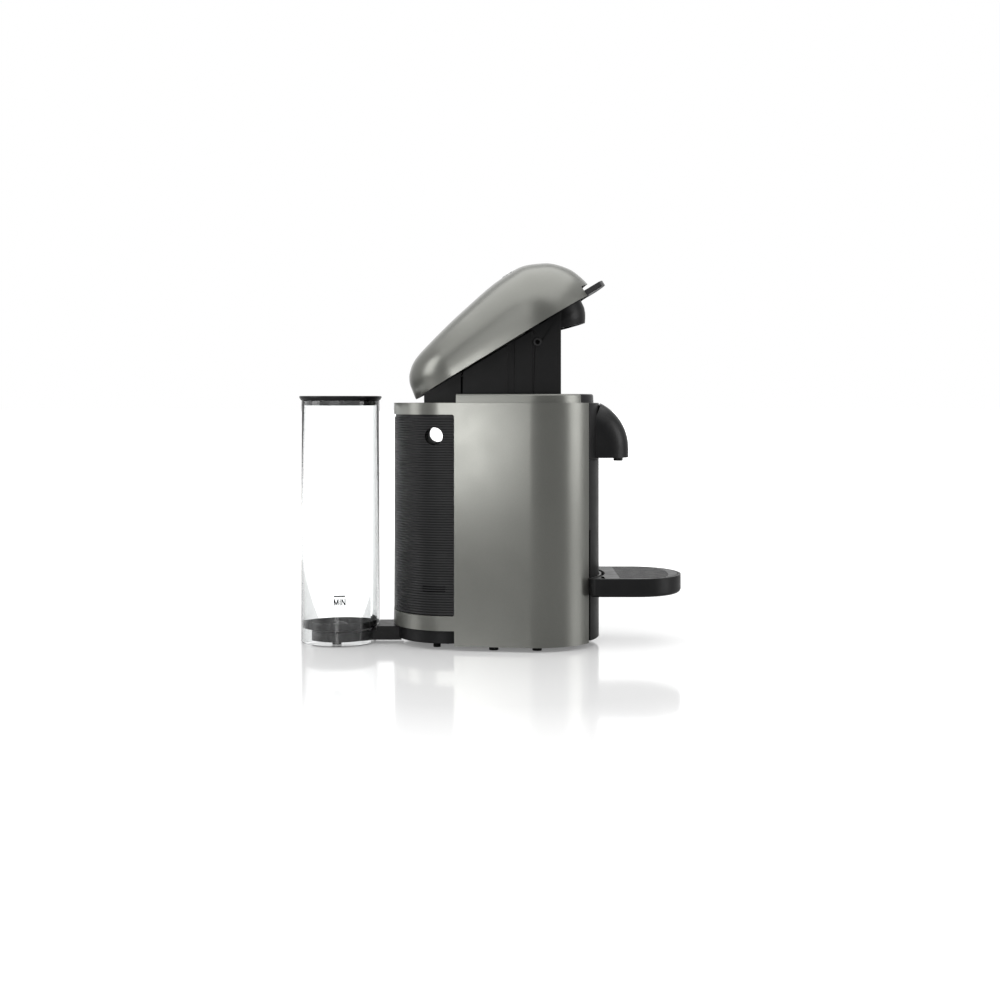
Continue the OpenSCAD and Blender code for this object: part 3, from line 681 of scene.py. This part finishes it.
def spout_section(distance, half):
    """Half widths and drops across the hood: nearly round, a little flat in front."""
    steps = 28
    out = []
    for k in range(steps + 1):
        a = math.pi * k / steps
        c, s = math.cos(a), math.sin(a)
        y = -half * math.copysign(abs(c) ** 0.82, c)
        out.append((y, distance * (1 - abs(s) ** 0.9)))
    return out


def spout():
    outer, inner = [], []
    last = math.radians(64)
    levels = [("z", SPOUT_LOW), ("z", 206 * MM), ("z", 210 * MM)]
    levels += [("a", last * k / 20) for k in range(21)]
    for shrink, rings in ((0.0, outer), (2.2 * MM, inner)):
        half, radius = SPOUT_HALF - shrink, SPOUT_R - shrink
        for kind, value in levels:
            ring = []
            a = value if kind == "a" else 0.0
            z = SPOUT_CENTRE.y if kind == "a" else value
            reach = radius - 11 * MM
            for y, drop in spout_section(min(30 * MM, reach), half):
                r = radius - drop
                x = SPOUT_CENTRE.x + r * math.cos(a)
                ring.append((x, y, z + r * math.sin(a)))
            back = 112 * MM
            ring.append((back, ring[-1][1], ring[-1][2]))
            ring.insert(0, (back, ring[0][1], ring[0][2]))
            ring = [(max(x, back), y, zz) for x, y, zz in ring]
            rings.append(ring)
    skin = outer + inner[::-1]
    piece = loft("spout_hood", skin + [skin[0]], closed=False, caps=False)
    work = bmesh.new()
    work.from_mesh(piece.data)
    bmesh.ops.remove_doubles(work, verts=work.verts, dist=0.002 * MM)
    bmesh.ops.holes_fill(work, edges=[e for e in work.edges if e.is_boundary])
    bmesh.ops.recalc_face_normals(work, faces=work.faces)
    work.to_mesh(piece.data)
    work.free()
    piece.data.set_sharp_from_angle(angle=math.radians(45))
    finish_piece(piece, "body", "dark_plastic", ["spout_cover"])


spout()


# ---- head ----

HEAD_U = [0, 3.4, 9.2, 22.2, 44.5, 94.4, 150.8, 168.2, 196.6, 217.2, 227.6]
HEAD_V = [3, 19.3, 28.7, 38, 44.9, 56.6, 65.4, 65.7, 56.1, 37.2, 11.8]
ARCH_POWER = 2.5


def head_slope(i):
    if i == 0:
        return 3.2
    if i == len(HEAD_U) - 1:
        return -3.4
    a = (HEAD_V[i] - HEAD_V[i - 1]) / (HEAD_U[i] - HEAD_U[i - 1])
    b = (HEAD_V[i + 1] - HEAD_V[i]) / (HEAD_U[i + 1] - HEAD_U[i])
    return 0 if a * b <= 0 else 2 * a * b / (a + b)


def head_top(u):
    mm = u / MM
    i = max(k for k in range(len(HEAD_U) - 1) if HEAD_U[k] <= max(0, mm))
    h = HEAD_U[i + 1] - HEAD_U[i]
    t = (mm - HEAD_U[i]) / h
    rise = HEAD_V[i] * (1 + 2 * t) * (1 - t) ** 2 + head_slope(i) * h * t * (1 - t) ** 2
    rise += HEAD_V[i + 1] * t * t * (3 - 2 * t) - head_slope(i + 1) * h * t * t * (1 - t)
    return rise * MM


def head_half(u, inset):
    x = u + CLOSED_TIP_X
    front, rear = FRONT_R - inset, REAR_R - inset
    x_rear = REAR_X - rear * math.sin(TAPER)
    x_front = FRONT_X - front * math.sin(TAPER)
    reach = CLOSED_TIP_X + HEAD_L - FRONT_X + 0.5 * MM - inset
    if x < x_rear:
        return math.sqrt(max(0, rear * rear - (x - REAR_X) ** 2))
    if x < x_front:
        return rear * math.cos(TAPER) + (x - x_rear) * math.tan(TAPER)
    if x < FRONT_X:
        return math.sqrt(front * front - (x - FRONT_X) ** 2)
    return front * math.sqrt(max(0, 1 - ((x - FRONT_X) / reach) ** 2))


def head_grid(t, arches, steps):
    rows = []
    for i in range(arches + 1):
        s = (1 - math.cos(math.pi * i / arches)) / 2
        start = 0.2 * MM + t
        u = start + (HEAD_L - 0.4 * MM - 2 * t) * s
        w = head_half(u, 0.5 * MM + t)
        h = max(1 * MM, head_top(u) - t * (1 + 2.2 * abs(2 * s - 1) ** 6))
        row = []
        for j in range(steps + 1):
            a = math.pi * j / steps
            c, sn = math.cos(a), max(0.0, math.sin(a))
            row.append((u, w * math.copysign(abs(c) ** (2 / ARCH_POWER), c), h * sn ** (2 / ARCH_POWER)))
        rows.append(row)
    return rows


def head_shell():
    arches, steps = 110, 84
    m = steps + 1
    total = (arches + 1) * m
    last = arches * m
    verts = [p for t in (0, HEAD_WALL) for row in head_grid(t, arches, steps) for p in row]
    faces = []
    for i in range(arches):
        for j in range(steps):
            q = (i * m + j, i * m + j + 1, (i + 1) * m + j + 1, (i + 1) * m + j)
            faces.append(q)
            faces.append(tuple(v + total for v in reversed(q)))
        a, b = i * m, (i + 1) * m
        faces.append((a, b, b + total, a + total))
        faces.append((a + steps, a + steps + total, b + steps + total, b + steps))
    for base in (0, total):
        faces.append(tuple(base + j for j in range(m - 1, -1, -1)))
        faces.append(tuple(base + last + j for j in range(m)))
    faces.append((steps, 0, total, total + steps))
    faces.append((last, last + steps, last + total + steps, last + total))
    piece = new_piece("domed_head", verts, faces)
    notch = block("notch", (205 * MM, -36.5 * MM, -5 * MM), (240 * MM, 36.5 * MM, 11.5 * MM))
    hole = rod("hole", (BUTTON_U, 0, 50 * MM), (BUTTON_U, 0, 80 * MM), 9.8 * MM)
    cut(piece, [notch, hole])
    piece.data.transform(HEAD_FRAME)
    soften(piece, 0.55 * MM, 3, 48)
    finish_piece(piece, "head", "grey_paint", ["head_shell"])


head_shell()


def in_head_lathe(name, profile, u, radii=None, steps=96):
    if radii:
        profile = round_profile(profile, radii)
    return lathe(name, profile, (u, 0), steps, HEAD_FRAME)


def brew_nose():
    outer = [(24, 10), (31, 10), (31.5, 0), (30.6, -9), (28.3, -15), (25.3, -20), (22.2, -24.4)]
    outer.append((19.6, -24.6))
    inner = [(19.6, -20), (22.6, -19.4), (26, -15), (27.6, -12.4), (28.4, -7.6), (28.4, 7), (24, 7)]
    radii = [0, 1, 8, 10, 10, 8, 1, 0.6, 0.8, 1, 2, 2, 3, 0.5, 0]
    profile = [(r * MM, z * MM) for r, z in outer + inner]
    profile = round_profile(profile, [r * MM for r in radii])
    piece = lathe("brew_head_nose", profile, (NOSE_U, 0), 128)
    under = [(-40, -5), (40, -29), (40, -60), (-40, -60)]
    rings = [[(NOSE_U + a * MM, y * MM, b * MM) for a, b in under] for y in (-40, 40)]
    cut(piece, [loft("slant", rings)])
    piece.data.transform(HEAD_FRAME)
    piece.data.set_sharp_from_angle(angle=math.radians(40))
    finish_piece(piece, "head", "black_plastic", ["brew_nose"], nose_black)


brew_nose()


def button_parts():
    top = BUTTON_V
    r = 7.4 * MM
    profile = [
        (0, top - 0.5 * MM),
        (4 * MM, top - 0.35 * MM),
        (r - 1.2 * MM, top + 0.1 * MM),
        (r - 0.7 * MM, top + 0.3 * MM),
        (r - 0.2 * MM, top + 0.2 * MM),
        (r, top - 0.2 * MM),
        (r, top - 7.5 * MM),
        (0, top - 7.5 * MM),
    ]
    cap = in_head_lathe("brew_button_cap", profile, BUTTON_U)
    even_shading(cap)
    finish_piece(cap, "button", "bright_metal", ["brew_button"])
    ring = [(9.7, -5), (9.7, 0.7), (7.6, 0.7), (7.6, -5)]
    ring = [(a * MM, top + b * MM) for a, b in ring]
    bezel = in_head_lathe("button_ring", ring, BUTTON_U, [0, 0.35 * MM, 0.5 * MM, 0])
    even_shading(bezel)
    finish_piece(bezel, "head", "bright_metal", ["button_bezel"])


button_parts()


def frame_eyes():
    """The raised rings near the top front corners of the lifting frame."""
    low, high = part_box("riser_caps")
    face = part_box("riser_frame")[1].y - 0.35 * MM
    points = [(2.7, -0.8), (2.7, 0), (4.3, 0), (4.3, -0.8)]
    profile = [(r * MM, face + h * MM) for r, h in points]
    profile = round_profile(profile, [0, 0.3 * MM, 0.5 * MM, 0], 4)
    for name, turn in (("frame_eye_near", 90), ("frame_eye_far", -90)):
        middle = Matrix.Translation(((low.x + high.x) / 2, 0, (low.z + high.z) / 2))
        place = middle @ Matrix.Rotation(math.radians(turn), 4, "X")
        ring = lathe(name, profile, place=place)
        even_shading(ring)
        finish_piece(ring, "riser", "black_plastic", (), lever_grey)


frame_eyes()


# ---- cup support ----


def support_outline(inset, z):
    """The cup support's outline moved inwards: round in front, hollowed behind to fit the bin."""
    centre = (support_high.x - 52 * MM, 0)
    r = 52 * MM - inset
    back = SHELL_END_X + 0.5 * MM + inset
    hollow = FRONT_R + JOINT_GAP + inset
    points = [
        (centre[0] + r * math.cos(a), r * math.sin(a), z)
        for a in (math.radians(-90 + 180 * k / 72) for k in range(73))
    ]
    edge = math.sqrt(hollow * hollow - (back - FRONT_X) ** 2)
    points += [(centre[0] + (back - centre[0]) * k / 8, r, z) for k in range(1, 9)]
    span = math.asin(edge / hollow)
    points += [
        (FRONT_X + hollow * math.cos(a), hollow * math.sin(a), z)
        for a in (span - 2 * span * k / 40 for k in range(41))
    ]
    points += [(back + (centre[0] - back) * k / 8, -r, z) for k in range(0, 8)]
    return points


def cup_support():
    top, low = support_high.z, support_low.z
    sweep = 4.5 * MM
    levels = [(sweep * (1 - math.sin(a)), low + sweep * (1 - math.cos(a))) for a in
              (math.radians(90 * k / 6) for k in range(7))]
    levels += [(0, low + 9 * MM), (0, top - 0.5 * MM), (0.12 * MM, top - 0.15 * MM), (0.45 * MM, top)]
    levels += [(2.3 * MM, top), (2.6 * MM, top - 0.3 * MM), (2.7 * MM, top - 4.2 * MM)]
    piece = loft("cup_support_tray", [support_outline(inset, z) for inset, z in levels])
    even_shading(piece)
    finish_piece(piece, "support", "dark_plastic", ["cup_support"])


cup_support()


# ---- tank ----


def tank():
    low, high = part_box("water_tank")
    outer = TANK_R
    inner = TANK_R - 2.2 * MM
    points = [(outer, low.z), (outer, high.z), (inner, high.z), (inner, low.z)]
    profile = round_profile(points, [0.6 * MM, 0.8 * MM, 0.8 * MM, 0.6 * MM], 4)
    piece = lathe("clear_water_tank", profile, (TANK_X, 0), 160)
    notch = block("notch", (TANK_X + 20 * MM, -21.6 * MM, -1 * MM), (TANK_X + 60 * MM, 21.6 * MM, 20 * MM))
    cut(piece, [notch])
    piece.data.set_sharp_from_angle(angle=math.radians(40))
    finish_piece(piece, "tank", "clear_plastic", ["water_tank"])
    points = [
        (40.8, 17), (40.8, 25), (39.8, 25), (38.6, 19.5), (8.5, 19.5), (8.5, 20.5), (5, 20.5), (5, 12.5),
        (8.5, 12.5), (8.5, 17),
    ]
    radii = [0.8, 0.3, 0.3, 0.8, 0.4, 0.3, 0.3, 0.3, 0.4, 0.8]
    profile = round_profile([(r * MM, z * MM) for r, z in points], [r * MM for r in radii], 4)
    floor = lathe("tank_floor", profile, (TANK_X, 0), 128)
    floor.data.set_sharp_from_angle(angle=math.radians(40))
    finish_piece(floor, "tank", "clear_plastic", ["water_tank"], smoked)


tank()


def tank_lid():
    points = [
        (0, 266.8), (38, 266.8), (38, 259.2), (40.3, 259.2), (40.3, 265.1), (43.2, 265.1),
        (45.3, 268.4), (45.0, 269.9), (36.5, 269.9), (35.5, 269.3), (0, 269.3),
    ]
    radii = [0, 0.5, 0.5, 0.4, 0.3, 0.4, 0.5, 0.4, 0.3, 0.4, 0]
    profile = round_profile([(a * MM, b * MM) for a, b in points], [r * MM for r in radii], 3)
    piece = lathe("tank_lid_cap", profile, (TANK_X, 0), 128)
    even_shading(piece)
    finish_piece(piece, "lid", "black_plastic", ["tank_lid"], lid_black)


tank_lid()


def level_mark():
    """The generic lowest-level mark on the tank: a bar over the letters MIN."""
    thick, shift = 1.2 * MM, 4 * MM
    low, high = 45.2 * MM, 52.2 * MM
    strokes = [((-6.2 * MM, z * MM), (6.2 * MM, z * MM)) for z in (55.0, 55.4)]

    def letter(x0, *pairs):
        for (a, b), (c, d) in pairs:
            rise = high - low
            strokes.append(((x0 + a * MM, low + b * rise), (x0 + c * MM, low + d * rise)))

    letter(-5.8 * MM, ((0, 0), (0, 1)), ((0, 1), (2.1, 0.1)), ((2.1, 0.1), (4.2, 1)), ((4.2, 1), (4.2, 0)))
    letter(0.5 * MM, ((0, 0), (0, 1)))
    letter(2.4 * MM, ((0, 0), (0, 1)), ((0, 1), (3.4, 0)), ((3.4, 0), (3.4, 1)))
    verts, faces = [], []
    for start, end in strokes:
        a, b = Vector(start), Vector(end)
        along = (b - a).normalized()
        across = Vector((-along.y, along.x)) * thick / 2
        steps = 8
        base = len(verts)
        for k in range(steps + 1):
            p = a.lerp(b, k / steps)
            for q in (p + across, p - across):
                for r in (TANK_R + 0.12 * MM, TANK_R - 0.05 * MM):
                    angle = (q.x + shift) / TANK_R
                    verts.append((TANK_X + r * math.sin(angle), -r * math.cos(angle), q.y))
        for k in range(steps):
            o = base + 4 * k
            for i, j in ((0, 1), (1, 3), (3, 2), (2, 0)):
                faces.append((o + i, o + j, o + 4 + j, o + 4 + i))
        faces.append((base, base + 2, base + 3, base + 1))
        end_base = base + 4 * steps
        faces.append((end_base, end_base + 1, end_base + 3, end_base + 2))
    piece = new_piece("lowest_level_mark", verts, faces, smooth=False)
    finish_piece(piece, "tank", "dark_plastic", (), mark_grey)


level_mark()


def valve():
    profile = [
        (0, 11.6), (4.2, 11.6), (4.6, 12.0), (4.6, 20.6), (7.6, 20.8), (8, 21.2), (7.4, 22.2), (5, 23.2),
        (4.4, 23.6), (2.2, 24.2), (0, 24.3),
    ]
    piece = lathe("tank_valve_head", [(a * MM, b * MM) for a, b in profile], (TANK_X, 0), 48)
    even_shading(piece)
    finish_piece(piece, "valve", "inner_plastic", ["tank_valve"], lever_black)


valve()


# ---- CAD nodes that keep their own meshes ----

NODE_LOOKS = {"open_lever": lever_grey, "riser_frame": frame_black, "rear_guide": frame_black,
              "top_deck": frame_black, "water_hoses": hose_milk, "riser_caps": pin_black,
              "through_sleeve": matt_black}
ROUNDING = {
    "top_deck": 0.4, "base_plate": 0.4, "rear_base": 0.6, "chassis": 0.4, "rear_guide": 0.5,
    "through_sleeve": 0.4, "spout_nozzle": 0.4, "chamber_housing": 0.5,
    "spin_motor": 0.6, "lift_motor": 0.5, "water_pump": 0.8,
    "thermoblock": 0.8, "flow_meter": 0.5, "control_board": 0.2, "cord_gland": 0.3, "feet": 0.6,
    "riser_frame": 0.5, "lift_rack": 0.15, "head_frame": 0.3, "injection_plate": 0.1, "open_lever": 1.1,
    "capsule_cup": 0.4, "cup_pulley": 0.2, "motor_pulley": 0.2, "lift_pinion": 0.15, "capsule_bin": 0.5,
    "drip_grid": 0.35, "swing_ring": 0.7, "tank_arm": 1.0, "arm_foot": 0.5, "ring_keeper": 0.2,
    "coffee_duct": 0.2, "guide_rods": 0.2,
}

for name, node in nodes.items():
    node.data.materials.clear()
    node.data.materials.append(NODE_LOOKS.get(name, looks[slot_of[name]]))
    if name in ROUNDING:
        weld = node.modifiers.new("weld", "WELD")
        weld.merge_threshold = 0.002 * MM
        soften(node, ROUNDING[name] * MM, 2, 35)


# ---- stage, light and camera ----


def seen_directly(tree):
    """1 for what is looked at directly or through the clear tank, and 0 for what only lights the object."""
    path = tree.nodes.new("ShaderNodeLightPath")
    seen = tree.nodes.new("ShaderNodeMath")
    seen.operation = "MAXIMUM"
    tree.links.new(path.outputs["Is Camera Ray"], seen.inputs[0])
    tree.links.new(path.outputs["Is Transmission Ray"], seen.inputs[1])
    return seen.outputs[0]


def map_range(tree, value, *limits):
    node = tree.nodes.new("ShaderNodeMapRange")
    for name, limit in zip(("From Min", "From Max", "To Min", "To Max"), limits):
        node.inputs[name].default_value = limit
    tree.links.new(value, node.inputs["Value"])
    return node


def stage():
    size = 30.0
    floor = new_piece(
        "floor", [(-size, -size, 0), (size, -size, 0), (size, size, 0), (-size, size, 0)], [(0, 1, 2, 3)]
    )
    look = Look("pale_floor", (0.72, 0.72, 0.72), 0.1, Specular_IOR_Level=1.0)
    look.vary_roughness(look.noise(6, 2), 0.08, 0.12)
    socket(look.shader, "Emission Color", (1, 1, 1, 1))
    seen = seen_directly(look.tree)
    shade = map_range(look.tree, seen, 0, 1, 0.35, 0.72)
    look.link(shade.outputs["Result"], look.shader.inputs["Base Color"])
    reach = look.tree.nodes.new("ShaderNodeVectorMath")
    reach.operation = "LENGTH"
    look.link(look.space, reach.inputs[0])
    rise = map_range(look.tree, reach.outputs["Value"], 0.3, 1.1, 0.2, 0.95)
    glow = map_range(look.tree, seen, 0, 1, 0.0, 0.2)
    look.link(rise.outputs["Result"], glow.inputs["To Max"])
    look.link(glow.outputs["Result"], look.shader.inputs["Emission Strength"])
    floor.data.materials.append(look.material)


def area_light(name, place, target, size, power, tall=None):
    data = bpy.data.lights.new(name, "AREA")
    data.shape = "RECTANGLE"
    data.size = size
    data.size_y = tall or size
    data.energy = power
    light = bpy.data.objects.new(name, data)
    light.location = place
    light.rotation_euler = (Vector(target) - Vector(place)).to_track_quat("-Z", "Y").to_euler()
    light.visible_camera = False
    light.visible_transmission = False
    bpy.context.scene.collection.objects.link(light)


def studio():
    """A white surround that lights softly from behind, and softboxes in front and above."""
    world = bpy.data.worlds.new("studio")
    world.use_nodes = True
    tree = world.node_tree
    background = tree.nodes["Background"]
    background.inputs["Color"].default_value = (1, 1, 1, 1)
    place = tree.nodes.new("ShaderNodeTexCoord")
    split = tree.nodes.new("ShaderNodeSeparateXYZ")
    tree.links.new(place.outputs["Generated"], split.inputs[0])
    backdrop = map_range(tree, split.outputs["Y"], 0.8, 0.9, 0.6, 1.1)
    behind = map_range(tree, split.outputs["Y"], -0.4, 0.85, 0.1, 0.6)
    tree.links.new(backdrop.outputs["Result"], behind.inputs["To Max"])
    strength = map_range(tree, seen_directly(tree), 0, 1, 0, 1)
    tree.links.new(behind.outputs["Result"], strength.inputs["To Min"])
    tree.links.new(strength.outputs["Result"], background.inputs["Strength"])
    bpy.context.scene.world = world
    bpy.context.scene.view_settings.view_transform = "Standard"
    middle = (0, 0, 0.2)
    area_light("key", (-0.21, -0.7, 0.215), (-0.03, 0, 0.22), 0.13, 0.62, 0.16)
    area_light("fill", (-0.5, -1.7, 0.9), middle, 0.9, 3.0)
    area_light("right_strip", (1.3, -0.35, 0.5), middle, 0.6, 5.4, 0.9)
    area_light("left_strip", (-1.3, -0.4, 0.6), middle, 0.6, 5.4, 0.9)
    area_light("top", (0, -0.2, 1.7), middle, 2.9, 40)


def camera():
    data = bpy.data.cameras.new("camera")
    distance = 1.4
    pixel = 1.105 * MM
    data.sensor_width = 36
    data.lens = 36 * distance / (1000 * pixel)
    data.shift_x = 0.01
    data.shift_y = -0.1
    view = bpy.data.objects.new("camera", data)
    view.location = (0, -distance, 0.2655)
    view.rotation_euler = (math.radians(90), 0, 0)
    bpy.context.scene.collection.objects.link(view)
    bpy.context.scene.camera = view


stage()
studio()
camera()
